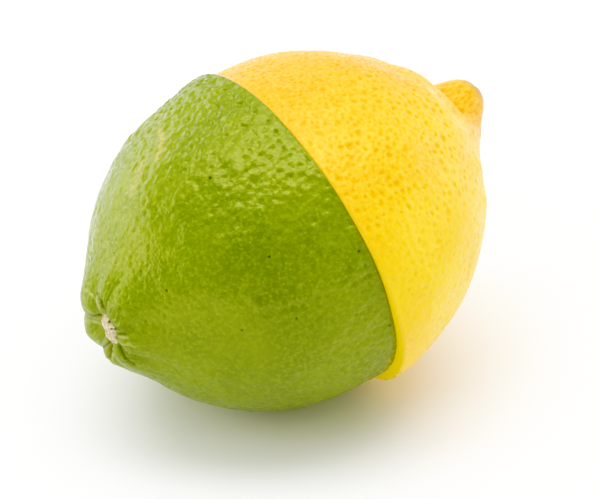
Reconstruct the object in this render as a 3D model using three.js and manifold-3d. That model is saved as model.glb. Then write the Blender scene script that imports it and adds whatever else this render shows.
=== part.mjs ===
// Half a lime and half a lemon, each cut across its middle, set cut face to cut face, lying on their side.
//
// Millimetres, +Z up. +X runs along the fruit, from the lime's stem end to the lemon's nipple. The origin is
// on the surface under the fruit, below the middle of its box.
//
// Each half is shaped about the middle of its cut face: a point of the peel is a direction out of that middle
// times the reach that limeReach or lemonReach gives for it. The fruit is then tilted and set down.

import * as THREE from "three";
import { mergeVertices } from "three/addons/utils/BufferGeometryUtils.js";
import Module from "manifold-3d";

const DEGREE = Math.PI / 180;

// How the two halves lie. The lime sits a little up and back from the lemon, whose edge shows below it.
const REST_TILT = 13.0 * DEGREE;
const REST_FLAT = 0.35;
const SEAM_GAP = 0.3;
const LIME_SHIFT = { back: 1.05, up: 1.05 };

// The lime's half: a full egg shape, hollowed a little on one side, that ends in a broad nose. The scar of
// the stem sits off the middle of the nose, in a dimple that creases run out from, with lobes between them.
const LIME = { radius: 28.7, length: 33.2, fullness: 2.19, rim: { back: 0.25, front: 0.6 } };
const LIME_LEAN = { back: -0.8 * DEGREE, up: 0.1 * DEGREE };
const HOLLOW = { depth: 0.77, middle: 71 * DEGREE, spread: 12 * DEGREE };
const NOSE = { height: 5.7, spread: 16 * DEGREE, steepness: 3.46 };
const NOSE_LEAN = { back: -1.9 * DEGREE, up: 5.1 * DEGREE };
const SCAR_LEAN = { back: -4.9 * DEGREE, up: 7.8 * DEGREE };
const DIMPLE = { depth: 2.0, spread: 5.5 * DEGREE };
const CREASES = { depth: 0.8, width: 14 * DEGREE, sharpness: 1.3, middle: 11 * DEGREE, spread: 6 * DEGREE };
const CREASE_COURSES = [
  { course: -160 * DEGREE, share: 0.6 },
  { course: -106 * DEGREE, share: 0.6 },
  { course: -48 * DEGREE, share: 0.4 },
  { course: -10 * DEGREE, share: 0.9 },
  { course: 54 * DEGREE, share: 1.0 },
  { course: 111 * DEGREE, share: 1.0 },
  { course: 152 * DEGREE, share: 0.5 },
];
const LOBES = { height: 0.4, middle: 9.5 * DEGREE, spread: 4.5 * DEGREE };
const NOSE_WRINKLES = { count: 17, depth: 0.05, middle: 22 * DEGREE, spread: 9 * DEGREE, twist: 0.8 };

// The lemon's half: a slightly pointed egg shape that ends in a nipple, with a furrow along one side of it and a
// lump on its shoulder.
const LEMON = { radius: 29.0, length: 33.2, fullness: 1.895, rim: { back: 0.25, front: 0.3 } };
const LEMON_LEAN = { back: 3.4 * DEGREE, up: 1.8 * DEGREE };
const NIPPLE = { height: 6.3, spread: 8.35 * DEGREE, steepness: 2.97 };
const NIPPLE_LEAN = { back: 2.2 * DEGREE, up: 7.1 * DEGREE };
const FURROW = { depth: 2.08, middle: 8.8 * DEGREE, spread: 3.3 * DEGREE, course: 45 * DEGREE };
const SHOULDER_LUMP = { height: 0.45, away: 20.5 * DEGREE, turn: 38 * DEGREE, spread: 5 * DEGREE };
const SHOULDER_RIBS = { count: 8, depth: 0.22, middle: 26 * DEGREE, spread: 12 * DEGREE, twist: 0.5 };

// Slow swells that keep either half from being a perfect egg: crossed waves, each with its own phase.
const SWELL = { height: 0.16, wavelength: 15, phases: [0.7, 2.1, 4.0] };

// Where round an axis the grooves crowd together: phases of one and of two waves per turn.
const CROWDING_PHASES = { once: 2.6, twice: 1.0 };

// The dry scar of the stem, with its root in a plain hole at the bottom of the lime's dimple.
const SCAR = { radius: 2.8, root: 1.8, crown: 0.5, hollow: 0.3, notches: 5, notchDepth: 0.3, gap: 0.3 };

// How finely the halves and the scar are divided.
const PEEL_RINGS = 30;
const PEEL_SECTORS = 84;
const RING_CROWDING = 0.1;
const SCAR_SECTORS = 30;
const MERGE_DISTANCE = 1e-4;

const wasm = await Module();
wasm.setup();

const limeAxis = leaning(-1, LIME_LEAN);
const noseAxis = leaning(-1, NOSE_LEAN);
const scarAxis = leaning(-1, SCAR_LEAN);
const lemonAxis = leaning(1, LEMON_LEAN);
const nippleAxis = leaning(1, NIPPLE_LEAN);
const upAndBack = new THREE.Vector3(0, 1, 1).normalize();
const lumpAxis = toward(nippleAxis, SHOULDER_LUMP);

// The unit vector along the fruit, towards -X or +X, leaned back and up by small angles.
function leaning(end, { back, up }) {
  return new THREE.Vector3(end, Math.tan(back), Math.tan(up)).normalize();
}

// Distance from the middle to an egg shape: a superellipse turned about its axis.
function eggReach(direction, axis, { radius, length, fullness }) {
  const along = Math.abs(direction.dot(axis));
  const across = Math.sqrt(Math.max(0, 1 - along * along));
  return ((along / length) ** fullness + (across / radius) ** fullness) ** (-1 / fullness);
}

// Two directions across an axis: zero lies nearest to up and back, quarter a quarter turn on from it.
function across(axis) {
  const zero = upAndBack.clone().addScaledVector(axis, -upAndBack.dot(axis)).normalize();
  return { zero, quarter: axis.clone().cross(zero) };
}

// Where a direction lies about an axis: its angle away from it, and its turn round it from up and back.
function about(axis, direction) {
  const { zero, quarter } = across(axis);
  return {
    away: axis.angleTo(direction),
    turn: Math.atan2(direction.dot(quarter), direction.dot(zero)),
  };
}

// The direction that lies so far away from an axis and so far round it.
function toward(axis, { away, turn }) {
  const { zero, quarter } = across(axis);
  const aside = zero.multiplyScalar(Math.cos(turn)).addScaledVector(quarter, Math.sin(turn));
  return aside.multiplyScalar(Math.sin(away)).addScaledVector(axis, Math.cos(away));
}

// A knob that is full height on its axis and falls away round its foot.
function knob(away, { height, spread, steepness }) {
  return height / (1 + (away / spread) ** steepness);
}

// 1 on a ring at the middle angle, falling smoothly to 0 on both sides.
function band(away, { middle, spread }) {
  return Math.exp(-(((away - middle) / spread) ** 2));
}

// Grooves that run out from an axis, uneven in their spacing, with round backs and narrow valleys.
function grooves({ away, turn }, shape) {
  const crowding = Math.sin(turn + CROWDING_PHASES.once) + Math.sin(2 * turn + CROWDING_PHASES.twice);
  const uneven = turn + (shape.twist / 2) * crowding;
  const valley = (1 - Math.abs(Math.sin((shape.count * uneven) / 2))) ** 2;
  return -shape.depth * valley * band(away, shape);
}

// Creases that run out from the lime's scar, each along a course of its own, and the lobes between them.
function creasesAndLobes({ away, turn }) {
  let deepest = 0;
  for (const { course, share } of CREASE_COURSES) {
    const aside = Math.abs(THREE.MathUtils.euclideanModulo(turn - course + Math.PI, 2 * Math.PI) - Math.PI);
    deepest = Math.max(deepest, share * Math.exp(-((aside / CREASES.width) ** CREASES.sharpness)));
  }
  return LOBES.height * (1 - deepest) * band(away, LOBES) - CREASES.depth * deepest * band(away, CREASES);
}

// A broad hollow on the up and back side of an axis.
function hollow({ away, turn }, shape) {
  return -shape.depth * band(away, shape) * (0.5 + 0.5 * Math.cos(turn)) ** 4;
}

// Three crossed sine waves over the peel.
function swell(direction, reach) {
  const turns = (2 * Math.PI * reach) / SWELL.wavelength;
  const { x, y, z } = direction;
  const courses = [0.8 * x + 0.6 * y, 0.8 * y + 0.6 * z, 0.8 * z - 0.6 * x];
  let waves = 0;
  for (const [i, course] of courses.entries()) waves += Math.sin(turns * course + SWELL.phases[i]);
  return (SWELL.height * waves) / Math.sqrt(courses.length);
}

// Rounds a peel off into its cut face, most at the front and below, where the halves lie lowest.
function roundedRim(direction, reach, { back, front }) {
  const rim = THREE.MathUtils.lerp(back, front, (0.5 - 0.5 * direction.dot(upAndBack)) ** 3);
  const fromCut = reach * Math.abs(direction.x);
  if (fromCut >= rim) return reach;
  return reach - rim * (1 - Math.sqrt(1 - (1 - fromCut / rim) ** 2));
}

function limeReach(direction) {
  const nearScar = about(scarAxis, direction);
  const egg = eggReach(direction, limeAxis, LIME);
  const nose = knob(about(noseAxis, direction).away, NOSE);
  const dimple = DIMPLE.depth * Math.exp(-((nearScar.away / DIMPLE.spread) ** 2));
  const folds = creasesAndLobes(nearScar) + grooves(nearScar, NOSE_WRINKLES);
  const relief = folds + hollow(about(limeAxis, direction), HOLLOW) + swell(direction, egg);
  return roundedRim(direction, egg + nose - dimple + relief, LIME.rim);
}

function lemonReach(direction) {
  const place = about(nippleAxis, direction);
  const egg = eggReach(direction, lemonAxis, LEMON);
  const oneSide = 0.5 + 0.5 * Math.cos(place.turn - FURROW.course);
  const furrow = FURROW.depth * oneSide * band(place.away, FURROW);
  const lump = SHOULDER_LUMP.height * Math.exp(-((lumpAxis.angleTo(direction) / SHOULDER_LUMP.spread) ** 2));
  const relief = grooves(place, SHOULDER_RIBS) + lump - furrow + swell(direction, egg);
  return roundedRim(direction, egg + knob(place.away, NIPPLE) + relief, LEMON.rim);
}

// A half dome of unit size closed by its flat cut, with rings crowded towards its tip and its rim, then
// pushed out to the reach of each direction. The middle of the cut stays put: its direction has no length.
// end is -1 for a tip at -X and 1 for a tip at +X.
function halfFruit(end, reach) {
  const outline = [new THREE.Vector2(0, 0)];
  for (let ring = PEEL_RINGS; ring >= 0; ring--) {
    const even = ring / PEEL_RINGS;
    const angle = (Math.PI / 2) * (even - RING_CROWDING * Math.sin(2 * Math.PI * even));
    outline.push(new THREE.Vector2(ring ? Math.sin(angle) : 0, ring < PEEL_RINGS ? Math.cos(angle) : 0));
  }
  const dome = new THREE.LatheGeometry(outline, PEEL_SECTORS).rotateZ((-end * Math.PI) / 2);
  const position = dome.getAttribute("position");
  const point = new THREE.Vector3();
  for (let i = 0; i < position.count; i++) {
    point.fromBufferAttribute(position, i).normalize();
    point.multiplyScalar(reach(point));
    position.setXYZ(i, point.x, point.y, point.z);
  }
  return dome.translate((end * SEAM_GAP) / 2, 0, 0);
}

// The scar, standing on +Y: a round root under a low crown, hollow in the middle and notched at its edge.
function stemScar() {
  const { radius, root, crown, hollow, notches, notchDepth } = SCAR;
  const outline = [
    new THREE.Vector2(0, -root),
    new THREE.Vector2(0.8 * radius, -root),
    new THREE.Vector2(radius, -0.6 * root),
    new THREE.Vector2(radius, 0.3 * crown),
    new THREE.Vector2(0.8 * radius, crown),
    new THREE.Vector2(0.4 * radius, crown - 0.4 * hollow),
    new THREE.Vector2(0, crown - hollow),
  ];
  const scar = new THREE.LatheGeometry(outline, SCAR_SECTORS);
  const position = scar.getAttribute("position");
  for (let i = 0; i < position.count; i++) {
    const x = position.getX(i);
    const z = position.getZ(i);
    const notch = notchDepth * (0.5 + 0.5 * Math.cos(notches * Math.atan2(z, x)));
    const kept = 1 - notch / radius;
    position.setXYZ(i, x * kept, position.getY(i), z * kept);
  }
  return scar;
}

// Turns a piece that stands on +Y to stand on the lime's nose, with its zero level at the dimple's bottom.
function ontoNose(geometry) {
  const bottom = scarAxis.clone().multiplyScalar(limeReach(scarAxis));
  return geometry
    .applyQuaternion(new THREE.Quaternion().setFromUnitVectors(new THREE.Vector3(0, 1, 0), scarAxis))
    .translate(bottom.x - SEAM_GAP / 2, bottom.y, bottom.z);
}

// A closed geometry as a solid that can be cut, and a solid as a named mesh.
function solidOf(geometry) {
  const bare = geometry.clone();
  bare.deleteAttribute("normal");
  bare.deleteAttribute("uv");
  const merged = mergeVertices(bare, MERGE_DISTANCE);
  return new wasm.Manifold(
    new wasm.Mesh({
      numProp: 3,
      vertProperties: new Float32Array(merged.getAttribute("position").array),
      triVerts: new Uint32Array(merged.index.array),
    }),
  );
}

function meshOf(solid, name, material) {
  const { vertProperties, triVerts } = solid.getMesh();
  const geometry = new THREE.BufferGeometry();
  geometry.setAttribute("position", new THREE.BufferAttribute(vertProperties, 3));
  geometry.setIndex(new THREE.BufferAttribute(triVerts, 1));
  geometry.computeVertexNormals();
  const mesh = new THREE.Mesh(geometry, material);
  mesh.name = name;
  return mesh;
}

const limePeel = new THREE.MeshStandardMaterial({ color: 0x7f9e0e, roughness: 0.38, metalness: 0 });
const lemonPeel = new THREE.MeshStandardMaterial({ color: 0xf7c413, roughness: 0.45, metalness: 0 });
const dryStem = new THREE.MeshStandardMaterial({ color: 0xc2ae8b, roughness: 0.85, metalness: 0 });

// The whole halves, before the flat spot and the scar's hole are cut.
const holeRadius = SCAR.radius + SCAR.gap;
const holeDepth = SCAR.root + SCAR.gap;
const wholeLime = halfFruit(-1, limeReach).translate(0, LIME_SHIFT.back, LIME_SHIFT.up);
const wholeLemon = halfFruit(1, lemonReach);
const scar = ontoNose(stemScar()).translate(0, LIME_SHIFT.back, LIME_SHIFT.up);
const scarHole = ontoNose(
  new THREE.CylinderGeometry(holeRadius, holeRadius, 2 * holeDepth, SCAR_SECTORS),
).translate(0, LIME_SHIFT.back, LIME_SHIFT.up);

// The fruit is tilted and lowered until its lowest point is just under the surface.
const fruit = new THREE.Group();
fruit.rotation.y = -REST_TILT;
fruit.updateMatrixWorld();
const reachOfFruit = new THREE.Box3();
for (const half of [wholeLime, wholeLemon]) {
  const tilted = half.clone().applyMatrix4(fruit.matrixWorld);
  tilted.computeBoundingBox();
  reachOfFruit.union(tilted.boundingBox);
}
const middle = reachOfFruit.getCenter(new THREE.Vector3());
fruit.position.set(-middle.x, -middle.y, -reachOfFruit.min.z - REST_FLAT);
fruit.updateMatrixWorld();

// What lies under the surface is pressed flat.
const slabSize = 4 * LEMON.length;
const slab = new THREE.BoxGeometry(slabSize, slabSize, slabSize).translate(0, 0, -slabSize / 2);
const surface = solidOf(slab.applyMatrix4(fruit.matrixWorld.clone().invert()));

fruit.add(
  meshOf(solidOf(wholeLime).subtract(surface).subtract(solidOf(scarHole)), "lime_half", limePeel),
  meshOf(solidOf(wholeLemon).subtract(surface), "lemon_half", lemonPeel),
  meshOf(solidOf(scar), "stem_scar", dryStem),
);

const part = new THREE.Group();
part.add(fruit);
export default part;
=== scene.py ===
"""Half a lime and half a lemon set cut face to cut face: the looks of the packed part, as a Blender add-on.

Metres, in the packed part's own frame: +X runs from the lime's stem end to the lemon's nipple, +Z is up.
A half is shaped about the middle of its cut face. A point of its peel is a direction out of that middle
times a reach, then sunk by the pits of the peel. The whole fruit is tilted and set down last.
"""

import math

import bmesh
import bpy
import numpy as np
from bpy.props import FloatProperty, FloatVectorProperty, IntProperty, PointerProperty
from bpy.types import Operator, Panel, PropertyGroup
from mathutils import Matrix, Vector, kdtree, noise


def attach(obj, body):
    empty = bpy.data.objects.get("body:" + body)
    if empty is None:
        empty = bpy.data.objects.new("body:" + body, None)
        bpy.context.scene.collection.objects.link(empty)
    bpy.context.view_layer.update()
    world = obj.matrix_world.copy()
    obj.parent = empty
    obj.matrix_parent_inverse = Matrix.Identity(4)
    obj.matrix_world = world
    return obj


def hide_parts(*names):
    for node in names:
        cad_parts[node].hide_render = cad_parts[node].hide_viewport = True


bl_info = {
    "name": "Half-lime half-lemon fruit",
    "version": (1, 0, 0),
    "blender": (4, 5, 0),
    "location": "View3D > Sidebar > Citrus",
    "description": "Builds a lime half and a lemon half set cut face to cut face, and a studio for them",
    "category": "Add Mesh",
}

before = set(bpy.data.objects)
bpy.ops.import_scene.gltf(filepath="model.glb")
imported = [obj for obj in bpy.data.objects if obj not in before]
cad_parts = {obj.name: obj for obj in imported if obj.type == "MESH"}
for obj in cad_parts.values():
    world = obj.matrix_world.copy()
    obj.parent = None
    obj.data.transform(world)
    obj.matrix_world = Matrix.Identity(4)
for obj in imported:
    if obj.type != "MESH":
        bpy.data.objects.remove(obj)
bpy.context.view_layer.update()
BODY = "root"

# Directions out of the middle of the cut: along the fruit to either end, and up and back.
LIME_END = -1
LEMON_END = 1
UP_AND_BACK = np.array((0, 1, 1)) / math.sqrt(2)

# The dome that a half starts from: a cube's half, its faces cut this often in two passes. The lime's nose is
# cut once more, as far as it is lined.
DOME_CUTS = {LIME_END: (15, 9), LEMON_END: (15, 10)}
NOSE_CUTS = 2
NOSE_LINED = math.radians(14)

# Slow waves in the form of both halves: the way that each runs, and its phase.
SWELL_WAVES = (((0.8, 0.6, 0), 0.7), ((0, 0.8, 0.6), 2.1), ((-0.6, 0, 0.8), 4.0))

# How steeply the lime's nose and the lemon's nipple fall away at their feet.
NOSE_STEEPNESS = 3.46
NIPPLE_STEEPNESS = 2.97

# Creases of the lime's nose: where round the scar each runs, in degrees from up and back, and its share of
# depth. Their sides are this wide, and so are their bottoms, where shade is painted dark.
NOSE_CREASES = ((-160, 0.6), (-106, 0.6), (-48, 0.4), (-10, 0.9), (54, 1.0), (111, 1.0), (152, 0.5))
CREASE_WIDTH = math.radians(14)
CREASE_BOTTOM = math.radians(5)
CREASE_SHARPNESS = 1.3

# Rings round the lime's scar: degrees out from it, and breadth. The hollow's ring is round the lime's axis.
DIMPLE_RING = (0, 5.5)
FIBRE_RING = (6.5, 3.5)
# The fold ring is where the crease bottoms are painted dark as shade.
FOLD_RING = (7, 4)
WRINKLE_RING = (8.5, 4)
LOBE_RING = (9.5, 4.5)
CREASE_RING = (11, 6)
PITTED_RING = (19, 8)
GROOVE_RING = (22, 9)
HOLLOW_RING = (71, 12)

# The same round the lemon's nipple. The lump's ring is round its own place beside the nipple.
FURROW_RING = (9.4, 3.2)
FOOT_RING = (10.5, 3)
# A highlight is painted along this ridge.
RIDGE_RING = (23, 2.5)
SHOULDER_RING = (24, 9)
RIB_RING = (26, 12)
LUMP_RING = (0, 5)
LUMP_PLACE = (20.5, 38)

# Where round its axis a thing on one side is full, from up and back.
HOLLOW_TURN = 0
FURROW_TURN = math.radians(45)
FOOT_TURN = math.pi
# The painted highlight of the lemon's ridge is full on this side.
RIDGE_TURN = math.radians(95)
MATT_TURN = math.radians(-118)

# Grooves that run out from an axis: how many, how unevenly spaced, and how deep. All share the phases.
LIME_GROOVES = (17, 0.8, 0.00005)
LIME_WRINKLES = (37, 0.9, 0.00004)
LEMON_RIBS = (8, 0.5, 0.00022)
GROOVE_PHASES = (2.6, 1.0)

# Noise in the peels and the scar: its wavelength, where it is read from, and its height if that isn't 1.
LIME_BROAD_LUMPS = (0.0034, 3.1, 0.00015)
LIME_LUMPS = (0.002, 7.7, 0.00015)
LIME_FINE_LUMPS = (0.0011, 5.2, 0.00007)
LEMON_BROAD_LUMPS = (0.0045, 5.3)
LEMON_FINE_LUMPS = (0.0014, 1.9, 0.00008)
FIBRE_WANDER = (0.0016, 9.1, 0.2)
FIBRE_BREAKS = (0.0013, 6.6)
RAGGED_LINES = (0.0006, 4.4)
DENT_PATCHES = (0.006, 2.7)
# Pale patches break up the highlight painted along the lemon's ridge.
PALE_PATCHES = (0.002, 8.2)
SCAR_CRACKS = (0.0005, 2.2)
SCAR_FIBRES = (0.0007, 6.1)

# Pits and dents: the range of their radii and how far their outlines are pushed about, in common radii, the
# seed of that push, and how many of them a point can lie in.
PIT_RADII = (0.6, 1.4)
PIT_CRUMPLE = 0.45
CRUMPLE_SEED = 1
PITS_AT_ONCE = 3

# The lime's peel: how far from the scar it has no dents, is matt and painted darker as shade, and isn't yet
# fully rough, how much deeper the pits beside the nose are, and how strongly dents deepen with the
# roughness.
SMOOTH_NOSE = math.radians(13)
MATT_NOSE = math.radians(11)
FULLY_ROUGH = math.radians(72)
NOSE_PITTING = 1.6
DENT_GROWTH = 1.5

# The lemon's peel: the height of its broad lumps, and what the shoulder adds, how far out from the nipple it
# is painted darker orange as shade, and how far it is dry, and the belt where pits are strongest, by how
# much of a direction points up and back.
LUMPS_EVERYWHERE = 0.00009
LUMPS_ON_SHOULDER = 0.0004
SHADED_NIPPLE = math.radians(10)
DRY_TIP = math.radians(4)
PITTED_BELT = (0.1, 0.4)

# How far in from the cut the relief of a peel is full.
LIME_PLAIN_EDGE = 0.0006
LEMON_PLAIN_EDGE = 0.0012

# Lines on the lime's nose and marks on its peel. Places are degrees away from the scar and round it from up
# and back.
FOLD_WIDTH = 0.00028
CORK_WIDTH = 0.00022
SCUFF_WIDTH = 0.00055
CORK_HEIGHT = 0.0001
FIBRE_HEIGHT = 0.00008
# The folds are sunk and painted dark as shade.
NOSE_FOLDS = (
    ((11, 53), (7.8, 48), (4.8, 28), (3.4, -7)),
    ((8, 118), (5.3, 132), (4.0, 146)),
    ((5.8, -118), (7.6, -118)),
    ((4.6, 156), (8.0, 141), (12, 128)),
    ((5.5, -165), (8.2, -172), (10.9, -177)),
    ((5.5, -43), (7.8, -35), (9.0, -19)),
)
NOSE_CORKS = (
    ((5.4, -40), (6.9, -21), (8.9, -4), (10.6, 7)),
    ((4.9, -126), (7.3, -123), (9.0, -122)),
    ((4.2, 172), (7.3, 152), (12.1, 135)),
    ((4.5, -143), (6.8, -144), (8.4, -158)),
    ((9.0, 63), (5.0, 55), (2.6, 48)),
)
SCUFFS = (
    ((57, -18), (54, -26), (48, -31)),
    ((46, -23), (42, -25), (36, -26)),
)
SPECKS = ((39, -122), (54, -96), (53, -58), (80, -108), (85, -140), (23, -87), (55, -122), (54, -18))
SPECK_EDGE = (0.0002, 0.0003)

# The stem's scar: where round it it is narrow and low, and how uneven its outline and its top are.
SCAR_TURN = math.radians(55)
SCAR_NARROWING = 0.2
SCAR_LOBES = 5
SCAR_LOBE_DEPTH = 0.08
SCAR_SLOPE = 0.0003
SCAR_OFFSET = 0.0004
SCAR_CRACK_DEPTH = 0.0002
SCAR_GRAIN = (1, 1, 0.3)

# Wavelengths and spacings in the finishes.
LIME_BLOTCHES = 0.012
LEMON_BLOTCHES = 0.014
GLAND_PATCHES = 0.006
GLAND_SPACING = 0.0009
FLECKS = 0.0007
NET = 0.0007
LIME_SHEEN = 0.002
LEMON_SHEEN = 0.003
GRAIN = 0.0004

# Where the pith of a cut face starts and ends, in from the peel.
PITH_START = (0.0018, 0.0022)
PITH_END = (0.0035, 0.0042)

# The waxy gloss of the lime's peel, a little warm, the lemon's weaker one, and what dry peel has instead.
WAX = {"IOR": 1.5, "Specular IOR Level": 0.6, "Specular Tint": (1.0, 1.0, 0.38)}
SATIN = {**WAX, "Specular IOR Level": 0.45}
MATT = {"Roughness": 0.5, "Specular IOR Level": 0.1}

# The lamps: the key hangs overhead, and the fill stands to the left of the camera.
KEY_SIDES = (0.8, 0.26)
KEY_PLACE = (-0.05, 0.0, 0.8)
FILL_SIDES = (0.4, 0.4)
FILL_TURN = math.radians(55)
FILL_ELEVATION = math.radians(50)
FILL_DISTANCE = 0.6

# The surround: where its brightness changes, by how much of a direction points up, right or to the camera.
OVERHEAD = (0.66, 0.88)
LEFT_SIDE = (-0.9, -0.2)
LEFT_TOP = (0.2, 0.45)
RIGHT_SIDE = (0.45, 0.95)
RIGHT_TOP = (0.05, 0.35)
OPENING_RISE = (0.15, 0.5)
OPENING_STARTS = (0.36, 0.04)
OPENING_EDGE = (-0.06, 0.06)
OPENING_TOP = (0.5, 0.9)
OPENING_RIGHT = (0.3, 0.6)

# The film's response to light: brightness of the scene, and of the picture. It lifts shade and eases into
# white. Its blue layer is slower in the shade, which leaves greens and yellows rich.
FILM_WHITE = 1.2
FILM_SHADE = ((0.07, 0.16), (0.125, 0.26), (0.2, 0.385), (0.4, 0.62))
FILM_LIGHT = ((0.55, 0.765), (0.7, 0.88), (0.85, 0.965))
FILM_BLUE_SHADE = ((0.015, 0.001), (0.03, 0.005), (0.06, 0.028), (0.093, 0.055))
FILM_BLUE_LIGHT = ((0.128, 0.085), (0.255, 0.215), (0.4, 0.38))

# The picture's width in points.
PHOTO_WIDTH = 600
MILLIMETRES_IN_METRE = 1000


def number(default, description, **kind):
    return FloatProperty(description=description, default=default, **kind)


def length(default, description):
    return number(default, description, unit="LENGTH", precision=5)


def angle(degrees, description):
    return number(math.radians(degrees), description, unit="ROTATION")


def colour(code, owner):
    """A colour property whose default is an sRGB code such as "80a010"."""
    shares = [int(code[i : i + 2], 16) / 255 for i in (0, 2, 4)]
    linear = [s / 12.92 if s <= 0.04045 else ((s + 0.055) / 1.055) ** 2.4 for s in shares]
    description = f"Colour of {owner}"
    return FloatVectorProperty(description=description, default=linear, subtype="COLOR", min=0, max=1)


def named(group):
    """Names each property of a group after its key, in plain words."""
    for key, field in group.__annotations__.items():
        field.keywords["name"] = key.replace("_", " ").capitalize()
    return group


@named
class FruitLie(PropertyGroup):
    """How the two halves lie."""

    rest_tilt: angle(13.0, "Rise of the fruit's axis towards the lemon's nipple")
    rest_flat: length(0.00035, "How far the lowest peel is pressed flat")
    seam_gap: length(0.00002, "Gap between the cut faces")
    seam_turn: angle(1.33, "Turn of the cut from square, its front towards the lemon")
    lime_back: length(0.00105, "Shift of the lime half to the back")
    lime_up: length(0.00105, "Shift of the lime half upwards")


@named
class LimeHalf(PropertyGroup):
    """Sizes and colours of the lime's half."""

    radius: length(0.0287, "Radius at the cut")
    length: length(0.0332, "From the cut to the tip of the plain egg shape")
    fullness: number(2.19, "Exponent of the egg shape: 2 is an ellipse, more is fuller")
    lean_back: angle(-0.8, "Lean of the half's axis to the back")
    lean_up: angle(0.1, "Lean of the half's axis upwards")
    rim_back: length(0.00025, "Rounding of the cut edge at the back")
    rim_front: length(0.0006, "Rounding of the cut edge at the front")
    hollow_depth: length(0.00077, "Depth of the broad hollow on the up and back side")
    nose_height: length(0.0057, "Height of the stem end over the egg shape")
    nose_spread: angle(16.0, "Half width of the stem end, seen from the middle of the cut")
    nose_back: angle(-1.9, "Lean of the stem end to the back")
    nose_up: angle(5.1, "Lean of the stem end upwards")
    scar_back: angle(-4.9, "Lean of the stem's scar to the back")
    scar_up: angle(7.8, "Lean of the stem's scar upwards")
    dimple_depth: length(0.002, "Depth of the dimple round the stem's scar")
    crease_depth: length(0.0008, "Depth of the creases that run out from the scar")
    lobe_height: length(0.0004, "Height of the lobes between those creases")
    dent_spacing: length(0.0014, "Least distance between two dents")
    dent_radius: length(0.00085, "Radius of a common dent")
    dent_depth: length(0.00017, "Depth of a common dent")
    pit_spacing: length(0.001, "Least distance between two pits")
    pit_radius: length(0.00035, "Radius of a common pit")
    pit_depth: length(0.0001, "Depth of a common pit")
    fold_depth: length(0.0004, "Depth of the sharp folds on the nose")
    seed: IntProperty(description="Seed of the random draws", default=11)
    green: colour("5f7100", "the peel")
    # Besides blotches, painted shade: the peel is tinted towards this where it is matt, near the nose and at
    # the bottom.
    deep_green: colour("506500", "the peel's darker blotches")
    gland: colour("86a030", "the pale oil glands")
    edge: colour("6d7d00", "the peel's cut edge")
    pith: colour("d8d9a8", "the pith")
    flesh: colour("a9b662", "the flesh")
    glow: number(0.1, "Light that comes through the cut")
    cork: colour("a9ad6c", "the corky lines round the scar")
    # Painted shade: the dark colour of the folds and of the crease bottoms round the scar.
    fold: colour("2c3a00", "the bottoms of the folds round the scar")
    scuff: colour("b09e60", "the dry scuff marks")
    speck: colour("20240a", "the tiny dark specks")


@named
class LemonHalf(PropertyGroup):
    """Sizes and colours of the lemon's half."""

    radius: length(0.029, "Radius at the cut")
    length: length(0.0332, "From the cut to the tip of the plain egg shape")
    fullness: number(1.895, "Exponent of the egg shape: 2 is an ellipse, less is more pointed")
    lean_back: angle(3.4, "Lean of the half's axis to the back")
    lean_up: angle(1.8, "Lean of the half's axis upwards")
    rim_back: length(0.00025, "Rounding of the cut edge at the back")
    rim_front: length(0.0003, "Rounding of the cut edge at the front")
    nipple_height: length(0.0063, "Height of the nipple over the egg shape")
    nipple_spread: angle(8.35, "Half width of the nipple, seen from the middle of the cut")
    nipple_back: angle(2.2, "Lean of the nipple to the back")
    nipple_up: angle(7.1, "Lean of the nipple upwards")
    furrow_depth: length(0.002, "Depth of the furrow beside the nipple's foot")
    foot_height: length(0.0008, "Height of that foot on its other side")
    lump_height: length(0.0006, "Height of the lump on the shoulder")
    dent_spacing: length(0.0013, "Least distance between two broad pits")
    dent_radius: length(0.00068, "Radius of a common broad pit")
    dent_depth: length(0.00016, "Depth of a common broad pit")
    pit_spacing: length(0.0008, "Least distance between two fine pits")
    pit_radius: length(0.0004, "Radius of a common fine pit")
    pit_depth: length(0.0001, "Depth of a common fine pit")
    seed: IntProperty(description="Seed of the random draws", default=23)
    yellow: colour("ffc610", "the peel")
    # Painted shade: this darker orange lies on the top and back and on the nipple, against the stronger
    # light there.
    orange: colour("f08c06", "the warmer peel above and on the nipple")
    # Painted shade: the bottoms of the pits are tinted darker.
    pit: colour("f2e868", "the tint at the bottom of a pit")
    # Partly the peel's paler colour, partly a painted highlight on the ridges between pits.
    net: colour("f8c452", "the peel between the pits")
    # Painted highlight: a pale line along the ridge at the nipple's foot.
    pale: colour("f4c874", "the pale ridge at the nipple's foot")
    edge: colour("f0c400", "the peel's cut edge")
    pith: colour("e8dfb4", "the pith")
    flesh: colour("d8bf58", "the flesh")
    glow: number(0.2, "Light that comes through the cut")
    tip: colour("8e6430", "the dry tip of the nipple")


@named
class StemScar(PropertyGroup):
    """Sizes and colours of the stem's dry scar."""

    radius: length(0.0028, "Radius of the scar")
    root: length(0.0018, "Depth of the scar's root in the lime")
    crown: length(0.0007, "Height of the scar over the dimple's bottom")
    hollow: length(0.0003, "Depth of the hollow in the middle")
    wood: colour("b89e7e", "the dry wood")
    fibre: colour("d2cbb2", "its pale fibres")
    crack: colour("2a2616", "the cracks")


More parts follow.
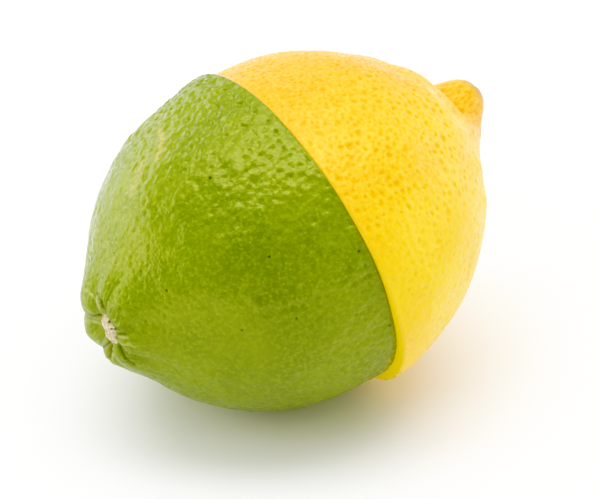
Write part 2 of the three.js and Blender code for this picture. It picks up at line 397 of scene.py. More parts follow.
@named
class Studio(PropertyGroup):
    """The floor, the lights and the camera."""

    floor_radius: length(1.5, "Radius of the floor")
    camera_distance: length(0.55, "From the camera to the middle of the seam")
    camera_azimuth: angle(-33.06, "Camera's place round the fruit, from the front")
    camera_elevation: angle(38.1, "Camera's place above the floor")
    scale: number(6.07, "Picture points per millimetre at the middle of the seam")
    seam_right: number(-3.25, "Picture points that the seam's middle lies right of the picture's")
    seam_up: number(18.76, "Picture points that it lies above it")
    floor_white: colour("f4f4f2", "the floor")
    key_power: number(1.8, "Power of the overhead light", unit="POWER")
    fill_power: number(0.8, "Power of the soft light at the left", unit="POWER")
    sky_strength: number(2.0, "Brightness of the surround overhead")
    back_strength: number(0.68, "Brightness of the surround at the back")
    left_strength: number(2.45, "Brightness of the surround at the left")
    right_strength: number(2.4, "Brightness of the surround at the right")
    front_strength: number(0.06, "Brightness of its open front near the floor")
    front_high: number(0.4, "Brightness of its open front high up")
    front_right: number(0.3, "Added brightness of its open front to the right")


def unit(vectors):
    return vectors / np.linalg.norm(vectors, axis=-1, keepdims=True)


def leaning(end, back, up):
    """The direction along the fruit to one end, leaned to the back and up by small angles."""
    return unit(np.array((end, math.tan(back), math.tan(up))))


def egg_reach(directions, axis, half):
    """Distance from the middle of the cut to a superellipse turned about an axis."""
    along = np.abs(directions @ axis)
    across = np.sqrt(np.maximum(0, 1 - along**2))
    total = (along / half.length) ** half.fullness + (across / half.radius) ** half.fullness
    return total ** (-1 / half.fullness)


def about(axis, directions):
    """How far directions lie from an axis, and how far round it from up and back, as angles."""
    zero = unit(UP_AND_BACK - axis * (UP_AND_BACK @ axis))
    quarter = np.cross(axis, zero)
    away = np.arccos(np.clip(directions @ axis, -1, 1))
    return away, np.arctan2(directions @ quarter, directions @ zero)


def toward(axis, away, turn):
    """The direction that lies so far from an axis and so far round it, in degrees."""
    zero = unit(UP_AND_BACK - axis * (UP_AND_BACK @ axis))
    away, turn = math.radians(away), math.radians(turn)
    aside = math.cos(turn) * zero + math.sin(turn) * np.cross(axis, zero)
    return math.cos(away) * axis + math.sin(away) * aside


def ramp(values, start, slope, low=0.0, high=1.0):
    """A straight run from start at 0, held between low and high."""
    return np.clip(start + slope * values, low, high)


def knob(away, height, spread, steepness):
    """A knob that is full height on its axis and falls away round its foot."""
    return height / (1 + (away / spread) ** steepness)


def band(values, middle, spread):
    """1 at a middle value, falling smoothly to 0 on both sides."""
    return np.exp(-(((values - middle) / spread) ** 2))


def ring(away, place):
    """1 on a ring round an axis, falling smoothly to 0 on both sides. place is in degrees."""
    middle, spread = place
    return band(away, math.radians(middle), math.radians(spread))


def on_side(turn, middle):
    """1 on one side of an axis, falling smoothly to 0 on the other."""
    return 0.5 + 0.5 * np.cos(turn - middle)


def grooves(turn, count, twist, depth):
    """Depth of narrow, unevenly spaced valleys that run out from an axis."""
    first, second = GROOVE_PHASES
    crowding = np.sin(turn + first) + np.sin(2 * turn + second)
    uneven = turn + twist / 2 * crowding
    return depth * (1 - np.abs(np.sin(count * uneven / 2))) ** 2


def creases(turn, width):
    """1 in the deepest of the creases that run out from the scar, falling off to both sides of each."""
    deepest = np.zeros_like(turn)
    for course, share in NOSE_CREASES:
        aside = np.abs((turn - math.radians(course) + math.pi) % (2 * math.pi) - math.pi)
        deepest = np.maximum(deepest, share * np.exp(-((aside / width) ** CREASE_SHARPNESS)))
    return deepest


def swell(directions, reach, height=0.00016, wavelength=0.015):
    """Slow crossed waves that keep a half from being a perfect egg."""
    turns = 2 * math.pi * reach / wavelength
    waves = sum(np.sin(turns * (directions @ way) + phase) for way, phase in SWELL_WAVES)
    return height * waves / math.sqrt(len(SWELL_WAVES))


def rounded_rim(directions, reach, half):
    """Rounds a peel off into its cut face, most at the front and below."""
    share = (0.5 - 0.5 * directions @ UP_AND_BACK) ** 3
    rim = half.rim_back + (half.rim_front - half.rim_back) * share
    inward = np.clip(1 - reach * np.abs(directions[:, 0]) / rim, 0, 1)
    return reach - rim * (1 - np.sqrt(1 - inward**2))


def scar_axis(lime):
    return leaning(LIME_END, lime.scar_back, lime.scar_up)


def lime_reach(directions, lime):
    """Distance from the middle of the cut to the lime's smooth form: egg, lobed nose and hollow."""
    axis = leaning(LIME_END, lime.lean_back, lime.lean_up)
    egg = egg_reach(directions, axis, lime)
    from_nose, _ = about(leaning(LIME_END, lime.nose_back, lime.nose_up), directions)
    from_axis, round_axis = about(axis, directions)
    away, turn = about(scar_axis(lime), directions)
    reach = egg + knob(from_nose, lime.nose_height, lime.nose_spread, NOSE_STEEPNESS)
    reach -= lime.dimple_depth * ring(away, DIMPLE_RING)
    crease = creases(turn, CREASE_WIDTH)
    reach += lime.lobe_height * (1 - crease) * ring(away, LOBE_RING)
    reach -= lime.crease_depth * crease * ring(away, CREASE_RING)
    reach -= grooves(turn, *LIME_GROOVES) * ring(away, GROOVE_RING)
    reach -= lime.hollow_depth * on_side(round_axis, HOLLOW_TURN) ** 4 * ring(from_axis, HOLLOW_RING)
    return rounded_rim(directions, reach + swell(directions, egg), lime)


def lime_spot(place, lime):
    """The point of the lime's peel at a place given as degrees away from the scar and round it."""
    direction = toward(scar_axis(lime), *place)
    return direction * lime_reach(direction[None], lime)[0]


def nipple_axis(lemon):
    return leaning(LEMON_END, lemon.nipple_back, lemon.nipple_up)


def lemon_reach(directions, lemon):
    """Distance from the middle of the cut to the lemon's smooth form: egg, nipple and shoulder."""
    nipple = nipple_axis(lemon)
    away, turn = about(nipple, directions)
    egg = egg_reach(directions, leaning(LEMON_END, lemon.lean_back, lemon.lean_up), lemon)
    reach = egg + knob(away, lemon.nipple_height, lemon.nipple_spread, NIPPLE_STEEPNESS)
    reach -= lemon.furrow_depth * on_side(turn, FURROW_TURN) * ring(away, FURROW_RING)
    reach += lemon.foot_height * on_side(turn, FOOT_TURN) ** 3 * ring(away, FOOT_RING)
    reach -= grooves(turn, *LEMON_RIBS) * ring(away, RIB_RING)
    from_lump, _ = about(toward(nipple, *LUMP_PLACE), directions)
    reach += lemon.lump_height * ring(from_lump, LUMP_RING)
    return rounded_rim(directions, reach + swell(directions, egg), lemon)


def lime_shift(lie):
    return np.array((0, lie.lime_back, lie.lime_up))


def cut_aslant(points, half, lie):
    """Points slid along the fruit, most at the cut, so that the cut is turned a little from square."""
    share = np.clip(1 - np.abs(points[:, 0]) / half.length, 0, 1) ** 2
    slide = -math.tan(lie.seam_turn) * points[:, 1] * share
    return points + slide[:, None] * (1, 0, 0)


def tilted(points, lie):
    """Points tilted about the Y axis, so that the lemon's end rises."""
    c, s = math.cos(lie.rest_tilt), math.sin(lie.rest_tilt)
    x, y, z = points.T
    return np.column_stack((c * x - s * z, y, s * x + c * z))


def seam_middle(scene):
    """Where the middle of the seam lies once the fruit is tilted and set down over the origin."""
    lie = scene.citrus_lie
    away, turn = np.meshgrid(np.linspace(0, math.pi / 2, 91), np.linspace(0, 2 * math.pi, 361))
    out = np.sin(away)
    side = np.stack((np.cos(away), out * np.cos(turn), out * np.sin(turn)), -1).reshape(-1, 3)
    to_lime = side * (LIME_END, 1, 1)
    lime = to_lime * lime_reach(to_lime, scene.citrus_lime)[:, None] + lime_shift(lie)
    lemon = side * lemon_reach(side, scene.citrus_lemon)[:, None]
    lying = tilted(np.vstack((lime, lemon)), lie)
    low, high = lying.min(0), lying.max(0)
    middle = (low + high) / 2
    return np.array((-middle[0], -middle[1], -low[2] - lie.rest_flat))


def set_down(points, scene):
    """Points of the upright fruit, tilted, set on the floor and pressed flat where they would sink in."""
    lying = tilted(points, scene.citrus_lie) + seam_middle(scene)
    lying[:, 2] = np.maximum(lying[:, 2], 0)
    return lying


def half_dome(end, lined=None):
    """A cube's half with finely cut faces, closed by a flat face at x = 0. lined is the axis of a nose."""
    bm = bmesh.new()
    first, second = DOME_CUTS[end]
    bmesh.ops.create_cube(bm, size=2)
    bmesh.ops.subdivide_edges(bm, edges=bm.edges[:], cuts=first, use_grid_fill=True)
    beyond = [v for v in bm.verts if end * v.co.x < -0.5 / first]
    bmesh.ops.delete(bm, geom=beyond, context="VERTS")
    bmesh.ops.subdivide_edges(bm, edges=bm.edges[:], cuts=second, use_grid_fill=True)
    if lined is not None:
        away, _ = about(lined, sphere_directions(np.array([v.co for v in bm.verts])))
        near = {v for v, angle_away in zip(bm.verts, away) if angle_away < NOSE_LINED}
        fine = [e for e in bm.edges if near.issuperset(e.verts)]
        bmesh.ops.subdivide_edges(bm, edges=fine, cuts=NOSE_CUTS, use_grid_fill=True)
    rim = [e for e in bm.edges if e.is_boundary]
    for edge in rim:
        edge.smooth = False
    cut = bmesh.ops.holes_fill(bm, edges=rim, sides=len(rim))["faces"]
    for face in bm.faces:
        face.smooth = True
    for face in cut:
        face.smooth = False
        face.material_index = 1
    bmesh.ops.recalc_face_normals(bm, faces=bm.faces[:])
    return bm


def mesh_of(bm, name):
    mesh = bpy.data.meshes.new(name)
    bm.to_mesh(mesh)
    bm.free()
    return mesh


def places(mesh):
    flat = np.empty(len(mesh.vertices) * 3, np.float32)
    mesh.vertices.foreach_get("co", flat)
    return flat.reshape(-1, 3).astype(float)


def put(mesh, points):
    mesh.vertices.foreach_set("co", points.astype(np.float32).ravel())
    mesh.update()


def mark(mesh, name, values):
    """Keeps one number for each vertex, for a material to read."""
    mesh.attributes.new(name, "FLOAT", "POINT").data.foreach_set("value", values.astype(np.float32))


def sphere_directions(on_cube):
    """Directions of points on a cube, spread evenly over the sphere."""
    return unit(np.tan(on_cube * math.pi / 4))


def scatter(points, spacing, draw):
    """Indices of points drawn in random order, none nearer than spacing to one drawn before."""
    cells = np.floor(points / spacing).astype(int).tolist()
    at = points.tolist()
    near = [(i, j, k) for i in (-1, 0, 1) for j in (-1, 0, 1) for k in (-1, 0, 1)]
    taken, drawn = {}, []
    for index in draw.permutation(len(points)).tolist():
        a, b, c = cells[index]
        x, y, z = at[index]
        rivals = [o for i, j, k in near for o in taken.get((a + i, b + j, c + k), ())]
        if all((x - p) ** 2 + (y - q) ** 2 + (z - r) ** 2 >= spacing**2 for p, q, r in rivals):
            taken.setdefault((a, b, c), []).append((x, y, z))
            drawn.append(index)
    return drawn


def nearest(points, centres, count):
    """Distances to the nearest centres of each point, and which centres they are."""
    tree = kdtree.KDTree(len(centres))
    for index, centre in enumerate(centres):
        tree.insert(centre, index)
    tree.balance()
    found = [tree.find_n(point, count) for point in points.tolist()]
    distances = np.array([[hit[2] for hit in hits] for hits in found])
    return distances, np.array([[hit[1] for hit in hits] for hits in found])


def lumps(points, wavelength, offset, height=1.0):
    """Smooth noise with that wavelength, from about -height to height."""
    shifted = points / wavelength + offset
    return height * np.array([noise.noise(p) for p in shifted.tolist()])


def crumpled(points, wavelength, amount):
    """Points pushed about a little, alike in each run."""
    noise.seed_set(CRUMPLE_SEED)
    return points + amount * np.array([noise.noise_vector(p) for p in (points / wavelength).tolist()])


def pits(points, spacing, reach, draw, evenness=0.5):
    """Uneven bowls in a peel, from 0 beside them to about 1 at their bottoms. reach is a bowl's radius."""
    uneven = crumpled(points, 2 * reach, PIT_CRUMPLE * reach)
    centres = uneven[scatter(points, spacing, draw)]
    distances, which = nearest(uneven, centres, PITS_AT_ONCE)
    radius = reach * draw.uniform(*PIT_RADII, len(centres))
    depth = draw.uniform(evenness, 2 - evenness, len(centres))
    inside = np.clip(1 - (distances / radius[which]) ** 2, 0, 1) ** 2
    return (depth[which] * inside).sum(1)


def ripples(away, turn, across=20.0, along=9.0):
    """Lumps drawn out along lines from an axis. across and along are how many fit in a radian."""
    stretched = np.column_stack((across * np.cos(turn), across * np.sin(turn), along * away))
    return np.array([noise.noise(p) for p in stretched.tolist()])


def streak(points, path, width):
    """1 on a broken line, falling off over its width."""
    nearest_part = np.full(len(points), np.inf)
    for start, end in zip(path, path[1:]):
        run = end - start
        share = np.clip((points - start) @ run / (run @ run), 0, 1)
        offset = points - start - share[:, None] * run
        nearest_part = np.minimum(nearest_part, np.linalg.norm(offset, axis=1))
    return np.exp(-((nearest_part / width) ** 2))


def shown(mesh, node, slot, *materials):
    """The finished piece: rides on the body, stands for its CAD node and takes the given finishes."""
    for material in materials:
        mesh.materials.append(material)
    piece = bpy.data.objects.new(mesh.name, mesh)
    bpy.context.scene.collection.objects.link(piece)
    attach(piece, BODY)
    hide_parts(node)


class Value:
    """A socket that Python's operators can work with: each operator adds a Math node."""

    def __init__(self, finish, socket):
        self.finish = finish
        self.socket = socket

    def math(self, operation, *values):
        return self.finish.node("ShaderNodeMath", {"operation": operation}, dict(enumerate(values)))

    def __add__(self, other):
        return self.math("ADD", self, other)

    def __sub__(self, other):
        return self.math("SUBTRACT", self, other)

    def __rsub__(self, other):
        return self.math("SUBTRACT", other, self)

    def __mul__(self, other):
        return self.math("MULTIPLY", self, other)

    __radd__ = __add__
    __rmul__ = __mul__

    def held(self, low, high, start=0.0, end=1.0):
        """Runs smoothly from start to end as the value goes from low to high."""
        return self.finish.node(
            "ShaderNodeMapRange",
            {"interpolation_type": "SMOOTHSTEP"},
            {"Value": self, "From Min": low, "From Max": high, "To Min": start, "To Max": end},
        )


class Finish:
    """A node tree that is written down node by node: a material's, or the surround's."""

    def __init__(self, owner):
        self.owner = owner
        owner.use_nodes = True
        self.tree = owner.node_tree

    @classmethod
    def material(cls, name):
        return cls(bpy.data.materials.new(name))

    def node(self, kind, settings, inputs, output=0):
        """Adds a node, sets it up and fills its sockets. Returns one of its outputs."""
        node = self.tree.nodes.new(kind)
        for name, setting in settings.items():
            setattr(node, name, setting)
        self.fill(node, inputs)
        return Value(self, node.outputs[output])

    def fill(self, node, inputs):
        """Fills a node's sockets, each given by its index, identifier or name, with values or links."""
        for key, value in inputs.items():
            socket = next(s for i, s in enumerate(node.inputs) if key in (i, s.identifier, s.name))
            if isinstance(value, Value):
                self.tree.links.new(value.socket, socket)
            elif socket.type == "RGBA":
                socket.default_value = (*value, 1)
            else:
                socket.default_value = value

    def mix(self, factor, plain, full, blend="MIX"):
        """A colour that goes from plain to full, or to their blend, by a factor from 0 to 1."""
        inputs = {"Factor_Float": factor, "A_Color": plain, "B_Color": full}
        return self.node("ShaderNodeMix", {"data_type": "RGBA", "blend_type": blend}, inputs, output=2)

    def attribute(self, name):
        return self.node("ShaderNodeAttribute", {"attribute_name": name}, {}, output="Fac")

    def coordinates(self, kind):
        return self.node("ShaderNodeTexCoord", {}, {}, output=kind)

    def clouds(self, place, wavelength, detail=2.0):
        inputs = {"Vector": place, "Scale": 1 / wavelength, "Detail": detail}
        return self.node("ShaderNodeTexNoise", {}, inputs)

    def dots(self, place, spacing):
        """Distance to the nearest of evenly strewn points, in spacings."""
        inputs = {"Vector": place, "Scale": 1 / spacing}
        return self.node("ShaderNodeTexVoronoi", {"feature": "F1"}, inputs, output="Distance")

    def of_two(self, operation, first, second):
        """A number worked out from two vectors, such as their distance."""
        inputs = {0: first, 1: second}
        return self.node("ShaderNodeVectorMath", {"operation": operation}, inputs, output="Value")

    def bump(self, height, depth):
        return self.node("ShaderNodeBump", {}, {"Height": height, "Distance": depth})

    def surface(self, inputs):
        self.fill(self.tree.nodes["Principled BSDF"], inputs)
        return self.owner

    def two_surfaces(self, share, inputs, others):
        """A surface that gives way to one with some other settings, by a share from 0 to 1."""
        self.surface(inputs)
        first = Value(self, self.tree.nodes["Principled BSDF"].outputs["BSDF"])
        second = self.node("ShaderNodeBsdfPrincipled", {}, {**inputs, **others})
        both = self.node("ShaderNodeMixShader", {}, {0: share, 1: first, 2: second})
        self.fill(self.tree.nodes["Material Output"], {"Surface": both})
        return self.owner


def lime_peel(lime, specks):
    """Waxy green peel: pale oil glands, tiny dark specks at those places, dry lines, scuff marks and painted
    shade.
    """
    finish = Finish.material("lime_peel")
    place = finish.coordinates("Object")
    blotch = finish.clouds(place, LIME_BLOTCHES, detail=3).held(0.35, 0.65)
    green = finish.mix(blotch, lime.green, lime.deep_green)
    patches = finish.clouds(place, GLAND_PATCHES).held(0.3, 0.7, start=0.4)
    gland = finish.dots(place, GLAND_SPACING).held(0.1, 0.4, start=0.42, end=0) * patches
    fleck = finish.clouds(place, FLECKS, detail=3).held(0.42, 0.72, end=0.28)
    green = finish.mix(gland, finish.mix(fleck, green, lime.gland), lime.gland)
    # Painted shade: darker green where the peel is matt, and dark in the folds and the crease bottoms.
    for name, share, tint in (
        ("matt_and_shade", 0.4, lime.deep_green),
        ("fibre", 0.7, lime.cork),
        ("fold", 0.85, lime.fold),
        ("cork", 0.7, lime.cork),
        ("scuff", 1, lime.scuff),
    ):
        green = finish.mix(finish.attribute(name) * share, green, tint)
    for speck in specks:
        dark = finish.of_two("DISTANCE", place, speck).held(*SPECK_EDGE, start=0.95, end=0)
        green = finish.mix(dark, green, lime.speck)
    roughness = finish.clouds(place, LIME_SHEEN).held(0.3, 0.7, start=0.15, end=0.24)
    grain = finish.bump(finish.clouds(place, GRAIN), depth=0.00008)
    waxed = {"Base Color": green, "Roughness": roughness, "Normal": grain, **WAX}
    return finish.two_surfaces(finish.attribute("matt_and_shade"), waxed, MATT)


def lemon_peel(lemon):
    """Satin yellow peel, with painted shade: darker in its pits, orange above and on the nipple. Paler
    between pits, partly as painted highlight.
    """
    finish = Finish.material("lemon_peel")
    place = finish.coordinates("Object")
    # Random warm blotches, and painted shade: a darker orange above and on the nipple.
    blotch = finish.clouds(place, LEMON_BLOTCHES, detail=3).held(0.4, 0.7, end=0.3)
    yellow = finish.mix(finish.attribute("orange_shade") + blotch, lemon.yellow, lemon.orange)
    # Paler between the pits: partly the peel's own colour, partly painted highlight.
    net = finish.clouds(place, NET, detail=1).held(0.35, 0.75, start=0.25, end=0.65)
    yellow = finish.mix(net * finish.attribute("net"), yellow, lemon.net)
    # Painted shade in the pits.
    yellow = finish.mix(finish.attribute("pit").held(0.1, 0.9), yellow, lemon.pit, blend="MULTIPLY")
    # Painted highlight along the ridge at the nipple's foot.
    yellow = finish.mix(finish.attribute("pale"), yellow, lemon.pale)
    yellow = finish.mix(finish.attribute("tip"), yellow, lemon.tip)
    roughness = finish.clouds(place, LEMON_SHEEN).held(0.3, 0.7, start=0.26, end=0.36)
    grain = finish.bump(finish.clouds(place, GRAIN), depth=0.00006)
    return finish.surface({"Base Color": yellow, "Roughness": roughness, "Normal": grain, **SATIN})


def cut_face(name, half, middle, scene):
    """The cut through a half: the peel's edge, pale pith and flesh, lit through a little."""
    finish = Finish.material(name)
    centre = set_down(middle[None], scene)[0]
    inside = half.radius - finish.of_two("DISTANCE", finish.coordinates("Object"), centre)
    cut = finish.mix(inside.held(*PITH_START), half.edge, half.pith)
    cut = finish.mix(inside.held(*PITH_END), cut, half.flesh)
    glow = {"Emission Color": cut, "Emission Strength": half.glow}
    return finish.surface({"Base Color": cut, "Roughness": 0.4, **glow})


def dry_wood(scar):
    """Pale, fibrous, cracked dry wood."""
    finish = Finish.material("dry_stem")
    wood = finish.mix(finish.attribute("fibre"), scar.wood, scar.fibre)
    wood = finish.mix(finish.attribute("crack"), wood, scar.crack)
    return finish.surface({"Base Color": wood, "Roughness": 0.85})


def from_cut(points, edge):
    """0 at the cut, rising to 1 over a plain edge."""
    return np.clip(np.abs(points[:, 0]) / edge, 0, 1)


class CITRUS_OT_lime_half(Operator):
    """Builds the lime's half, with its lobed stem end and its peel in relief"""

    bl_idname = "citrus.lime_half"
    bl_label = "Lime Half"

    def execute(self, context):
        scene = context.scene
        lime, lie = scene.citrus_lime, scene.citrus_lie
        mesh = mesh_of(half_dome(LIME_END, scar_axis(lime)), "lime_half_peel")
        directions = sphere_directions(places(mesh))
        points = directions * lime_reach(directions, lime)[:, None]
        away, turn = about(scar_axis(lime), directions)
        lines = self.lines(points, away, turn, lime)
        above = directions @ UP_AND_BACK
        relief = self.relief(points, away, turn, above, lines, lime) * from_cut(points, LIME_PLAIN_EDGE)
        points += directions * relief[:, None]
        points[:, 0] += LIME_END * lie.seam_gap / 2
        put(mesh, set_down(cut_aslant(points, lime, lie) + lime_shift(lie), scene))
        # Painted shade: the bottoms of the creases are darkened along with the folds.
        lines["fold"] += 0.5 * creases(turn, CREASE_BOTTOM) * ring(away, FOLD_RING)
        for name, share in lines.items():
            mark(mesh, name, share)
        # Painted shade: darker green towards the bottom and near the nose, where the peel is also matt.
        below = ramp(directions[:, 2], start=0.7, slope=-2, high=0.3)
        matt = knob(away, 1, MATT_NOSE, steepness=6) * (0.15 + 0.65 * on_side(turn, MATT_TURN))
        mark(mesh, "matt_and_shade", np.max((matt, below, lines["scuff"]), axis=0))
        specks = np.array([lime_spot(place, lime) for place in SPECKS])
        peel = lime_peel(lime, set_down(specks + lime_shift(lie), scene))
        shown(mesh, "lime_half", "lime_peel", peel, cut_face("lime_cut", lime, lime_shift(lie), scene))
        return {"FINISHED"}

    def lines(self, points, away, turn, lime):
        """Shares of folds, corky lines, dry scuff marks and fibres round the scar at each point."""

        def streaks(paths, width):
            courses = [[lime_spot(place, lime) for place in path] for path in paths]
            return np.max([streak(points, course, width) for course in courses], axis=0)

        ragged = ramp(lumps(points, *RAGGED_LINES), start=0.75, slope=1.4)
        broken = ramp(lumps(points, *FIBRE_BREAKS), start=0.6, slope=1.6)
        fibres = ramp(ripples(away, turn + lumps(points, *FIBRE_WANDER)), start=0.1, slope=2.6)
        return {
            "fold": streaks(NOSE_FOLDS, FOLD_WIDTH),
            "cork": streaks(NOSE_CORKS, CORK_WIDTH) * ragged,
            "scuff": streaks(SCUFFS, SCUFF_WIDTH) * ragged,
            "fibre": fibres * broken * ring(away, FIBRE_RING),
        }

    def relief(self, points, away, turn, above, lines, lime):
        """How far the peel stands out from its smooth form. It is roughest up and back, off the nose."""
        draw = np.random.default_rng(lime.seed)
        pit = pits(points, lime.pit_spacing, lime.pit_radius, draw)
        dent = pits(points, lime.dent_spacing, lime.dent_radius, draw, evenness=0.3)
        dent *= 1 - knob(away, 1, SMOOTH_NOSE, steepness=6)
        rough = ramp(above, start=0.75, slope=1.1, low=0.9, high=1.8)
        rough *= np.clip(away / FULLY_ROUGH, 0.5, 1)
        return (
            lumps(points, *LIME_BROAD_LUMPS)
            + rough * lumps(points, *LIME_LUMPS)
            + rough * lumps(points, *LIME_FINE_LUMPS)
            + FIBRE_HEIGHT * lines["fibre"]
            + CORK_HEIGHT * lines["cork"]
            - grooves(turn, *LIME_WRINKLES) * ring(away, WRINKLE_RING)
            - lime.fold_depth * lines["fold"]
            - lime.dent_depth * rough**DENT_GROWTH * dent
            - lime.pit_depth * (rough + NOSE_PITTING * ring(away, PITTED_RING)) * pit
        )


class CITRUS_OT_lemon_half(Operator):
    """Builds the lemon's half, with its nipple and its pitted peel in relief"""

    bl_idname = "citrus.lemon_half"
    bl_label = "Lemon Half"

    def execute(self, context):
        scene = context.scene
        lemon, lie = scene.citrus_lemon, scene.citrus_lie
        draw = np.random.default_rng(lemon.seed)
        mesh = mesh_of(half_dome(LEMON_END), "lemon_half_peel")
        directions = sphere_directions(places(mesh))
        points = directions * lemon_reach(directions, lemon)[:, None]
        away, turn = about(nipple_axis(lemon), directions)
        above = directions @ UP_AND_BACK
        belt = band(above, *PITTED_BELT)
        pit = pits(points, lemon.pit_spacing, lemon.pit_radius, draw)
        pit *= ramp(above, start=0.7, slope=0.5, low=0.5)
        dent = pits(points, lemon.dent_spacing, lemon.dent_radius, draw) * (0.55 + 0.55 * belt)
        dent *= ramp(lumps(points, *DENT_PATCHES), start=0.8, slope=0.6, low=0.4, high=1.2)
        inner = from_cut(points, LEMON_PLAIN_EDGE)
        broad = LUMPS_EVERYWHERE + LUMPS_ON_SHOULDER * ring(away, SHOULDER_RING)
        relief = broad * lumps(points, *LEMON_BROAD_LUMPS) + lumps(points, *LEMON_FINE_LUMPS)
        relief -= lemon.dent_depth * dent + lemon.pit_depth * pit
        points += directions * (relief * inner)[:, None]
        points[:, 0] += LEMON_END * lie.seam_gap / 2
        put(mesh, set_down(cut_aslant(points, lemon, lie), scene))
        # The pits' share also paints shade in them, by the pit tint.
        sunk = np.maximum(0.75 * pit, 0.9 * dent) * inner
        mark(mesh, "pit", sunk)
        # Paler between the pits, partly as painted highlight, most in the pitted belt.
        mark(mesh, "net", ramp(sunk, start=1, slope=-1.5) * (0.7 + 0.3 * belt))
        # Painted shade: a darker orange towards the top and back, and on the nipple.
        on_nipple = knob(away, 1, SHADED_NIPPLE, steepness=4)
        mark(mesh, "orange_shade", np.clip(0.42 + 0.75 * above + on_nipple, 0, 1.3))
        mark(mesh, "tip", knob(away, 0.9, DRY_TIP, steepness=8))
        # Painted highlight: a pale, broken line along the ridge at the nipple's foot.
        ridge = ring(away, RIDGE_RING) * np.clip(np.cos(turn - RIDGE_TURN), 0, 1)
        mark(mesh, "pale", 0.5 * ridge * ramp(lumps(points, *PALE_PATCHES), start=0.5, slope=1.5))
        cut = cut_face("lemon_cut", lemon, np.zeros(3), scene)
        shown(mesh, "lemon_half", "lemon_peel", lemon_peel(lemon), cut)
        return {"FINISHED"}


class CITRUS_OT_stem_scar(Operator):
    """Builds the dry scar of the stem in the lime's dimple"""

    bl_idname = "citrus.stem_scar"
    bl_label = "Stem Scar"

    def execute(self, context):
        scene = context.scene
        lime, lie, scar = scene.citrus_lime, scene.citrus_lie, scene.citrus_scar
        mesh = mesh_of(self.disc(scar), "stem_scar_wood")
        points = places(mesh)
        turn = np.arctan2(points[:, 1], points[:, 0])
        aside = turn - SCAR_TURN
        narrow = SCAR_NARROWING * np.cos(aside) ** 2 + SCAR_LOBE_DEPTH * np.cos(SCAR_LOBES * turn)
        points[:, :2] *= (1 - narrow)[:, None]
        cracks = lumps(points * SCAR_GRAIN, *SCAR_CRACKS)
        uneven = SCAR_CRACK_DEPTH * cracks - SCAR_SLOPE * np.cos(aside)
        points[:, 2] += uneven * (points[:, 2] > 0)
        points[:, :2] -= SCAR_OFFSET * np.array((math.cos(SCAR_TURN), math.sin(SCAR_TURN)))
        mark(mesh, "fibre", ramp(lumps(points * SCAR_GRAIN, *SCAR_FIBRES), start=0.3, slope=2.5))
        mark(mesh, "crack", ramp(cracks, start=-0.3, slope=-3.4))
        nose = scar_axis(lime)
        zero = toward(nose, 90, 0)
        turned = np.array((zero, np.cross(nose, zero), nose))
        bottom = nose * lime_reach(nose[None], lime)[0]
        put(mesh, set_down(points @ turned + bottom + lime_shift(lie), scene))
        shown(mesh, "stem_scar", "dry_stem", dry_wood(scar))
        return {"FINISHED"}

    def disc(self, scar):
        """A disc with a root below, a rounded edge and a hollow top, as a bmesh."""
        outline = (
            (0, -scar.root),
            (0.8 * scar.radius, -scar.root),
            (scar.radius, -0.6 * scar.root),
            (scar.radius, 0.3 * scar.crown),
            (0.8 * scar.radius, scar.crown),
            (0.4 * scar.radius, scar.crown - 0.4 * scar.hollow),
            (0, scar.crown - scar.hollow),
        )
        bm = bmesh.new()
        chain = [bm.verts.new((across, 0, high)) for across, high in outline]
        edges = [bm.edges.new(pair) for pair in zip(chain, chain[1:])]
        bmesh.ops.subdivide_edges(bm, edges=edges, cuts=7)
        bmesh.ops.spin(
            bm,
            geom=bm.verts[:] + bm.edges[:],
            axis=(0, 0, 1),
            cent=(0, 0, 0),
            angle=2 * math.pi,
            steps=96,
            use_merge=True,
        )
        bmesh.ops.remove_doubles(bm, verts=bm.verts[:], dist=1e-6)
        bmesh.ops.recalc_face_normals(bm, faces=bm.faces[:])
        for face in bm.faces:
            face.smooth = True
        return bm


def outward(azimuth, elevation):
    """The direction from the fruit to a place round it from the front and above the floor."""
    flat = math.cos(elevation)
    return Vector((math.sin(azimuth) * flat, -math.cos(azimuth) * flat, math.sin(elevation)))


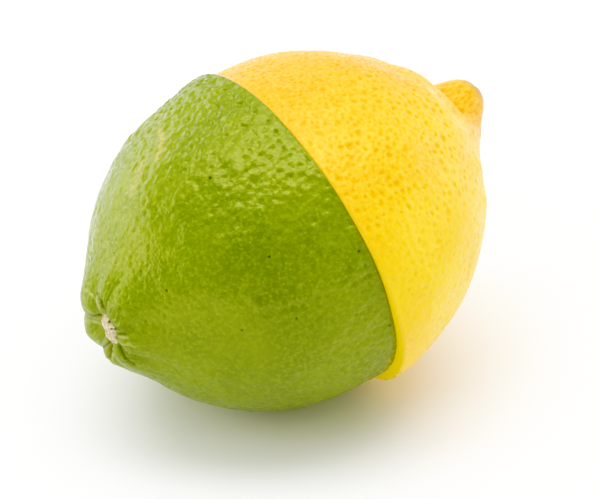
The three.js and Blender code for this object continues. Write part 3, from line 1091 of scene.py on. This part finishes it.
class CITRUS_OT_studio(Operator):
    """Sets the fruit on a white floor under soft light, and puts the camera in front of it"""

    bl_idname = "citrus.studio"
    bl_label = "Studio"

    def execute(self, context):
        studio = context.scene.citrus_studio
        self.lay_floor(context.scene, studio)
        self.hang_lamps(context.scene, studio)
        self.paint_surround(context.scene, studio)
        self.set_camera(context.scene, studio)
        self.load_film(context.scene.view_settings)
        return {"FINISHED"}

    def lay_floor(self, scene, studio):
        bm = bmesh.new()
        bmesh.ops.create_circle(bm, cap_ends=True, segments=64, radius=studio.floor_radius)
        floor = bpy.data.objects.new("floor", mesh_of(bm, "floor"))
        scene.collection.objects.link(floor)
        finish = Finish.material("floor_white")
        floor.data.materials.append(finish.surface({"Base Color": studio.floor_white, "Roughness": 0.9}))

    def hang_lamps(self, scene, studio):
        key = self.lamp(scene, "key", KEY_SIDES, studio.key_power)
        key.location = KEY_PLACE
        key.rotation_euler = (0, 0, studio.camera_azimuth)
        fill = self.lamp(scene, "fill", FILL_SIDES, studio.fill_power)
        out = outward(studio.camera_azimuth - FILL_TURN, FILL_ELEVATION)
        fill.location = FILL_DISTANCE * out
        fill.rotation_euler = (-out).to_track_quat("-Z", "Y").to_euler()
        fill.visible_glossy = False

    def lamp(self, scene, name, sides, energy):
        light = bpy.data.lights.new(name, "AREA")
        light.shape = "RECTANGLE"
        light.size, light.size_y = sides
        light.energy = energy
        lamp = bpy.data.objects.new(name, light)
        scene.collection.objects.link(lamp)
        return lamp

    def paint_surround(self, scene, studio):
        """A white surround, brightest overhead and low at both sides, with a dark opening at the front."""
        scene.world = bpy.data.worlds.new("surround")
        finish = Finish(scene.world)
        ways = finish.coordinates("Generated")
        c, s = math.cos(studio.camera_azimuth), math.sin(studio.camera_azimuth)
        ahead = finish.of_two("DOT_PRODUCT", ways, (s, -c, 0))
        aside = finish.of_two("DOT_PRODUCT", ways, (c, s, 0))
        upward = finish.of_two("DOT_PRODUCT", ways, (0, 0, 1))
        at_left = aside.held(*LEFT_SIDE, start=studio.left_strength - studio.back_strength, end=0)
        at_right = aside.held(*RIGHT_SIDE, end=studio.right_strength - studio.back_strength)
        sides = studio.back_strength + at_left * upward.held(*LEFT_TOP, start=1, end=0)
        sides += at_right * upward.held(*RIGHT_TOP, start=1, end=0)
        white = sides + (studio.sky_strength - sides) * upward.held(*OVERHEAD)
        opening = (ahead - upward.held(*OPENING_RISE, *OPENING_STARTS)).held(*OPENING_EDGE)
        dark = upward.held(*OPENING_TOP, start=studio.front_strength, end=studio.front_high)
        dark += aside.held(*OPENING_RIGHT, end=studio.front_right)
        strength = white + (dark - white) * opening
        finish.fill(finish.tree.nodes["Background"], {"Color": (1, 1, 1), "Strength": strength})

    def set_camera(self, scene, studio):
        out = outward(studio.camera_azimuth, studio.camera_elevation)
        lens = bpy.data.cameras.new("camera")
        width = PHOTO_WIDTH / studio.scale / MILLIMETRES_IN_METRE
        lens.lens = lens.sensor_width * studio.camera_distance / width
        lens.shift_x = -studio.seam_right / PHOTO_WIDTH
        lens.shift_y = -studio.seam_up / PHOTO_WIDTH
        lens.clip_start = 0.01
        camera = bpy.data.objects.new("camera", lens)
        camera.location = Vector(seam_middle(scene)) + out * studio.camera_distance
        camera.rotation_mode = "QUATERNION"
        camera.rotation_quaternion = (-out).to_track_quat("-Z", "Y")
        scene.collection.objects.link(camera)
        scene.camera = camera

    def load_film(self, view):
        view.view_transform = "Standard"
        view.use_curve_mapping = True
        film = view.curve_mapping
        film.white_level = (FILM_WHITE,) * 3
        _, _, blue, every_layer = film.curves
        for light, shown_as in FILM_SHADE + FILM_LIGHT:
            every_layer.points.new(light / FILM_WHITE, shown_as)
        for light, shown_as in FILM_BLUE_SHADE + FILM_BLUE_LIGHT:
            blue.points.new(light, shown_as)
        film.update()


class CITRUS_PT_panel(Panel):
    bl_idname = "CITRUS_PT_panel"
    bl_label = "Half-lime Half-lemon"
    bl_space_type = "VIEW_3D"
    bl_region_type = "UI"
    bl_category = "Citrus"

    def draw(self, context):
        for name, group in GROUPS.items():
            box = self.layout.box()
            box.label(text=group.__doc__)
            for key in group.__annotations__:
                box.prop(getattr(context.scene, name), key)
        for operator in OPERATORS:
            self.layout.operator(operator.bl_idname)


GROUPS = {
    "citrus_lie": FruitLie,
    "citrus_lime": LimeHalf,
    "citrus_lemon": LemonHalf,
    "citrus_scar": StemScar,
    "citrus_studio": Studio,
}
OPERATORS = (CITRUS_OT_lime_half, CITRUS_OT_lemon_half, CITRUS_OT_stem_scar, CITRUS_OT_studio)
CLASSES = (*GROUPS.values(), *OPERATORS, CITRUS_PT_panel)


def register():
    for cls in CLASSES:
        bpy.utils.register_class(cls)
    for name, group in GROUPS.items():
        setattr(bpy.types.Scene, name, PointerProperty(type=group))


def unregister():
    for name in GROUPS:
        delattr(bpy.types.Scene, name)
    for cls in reversed(CLASSES):
        bpy.utils.unregister_class(cls)


def main():
    register()
    bpy.ops.citrus.lime_half()
    bpy.ops.citrus.lemon_half()
    bpy.ops.citrus.stem_scar()
    bpy.ops.citrus.studio()


if __name__ == "__main__":
    main()
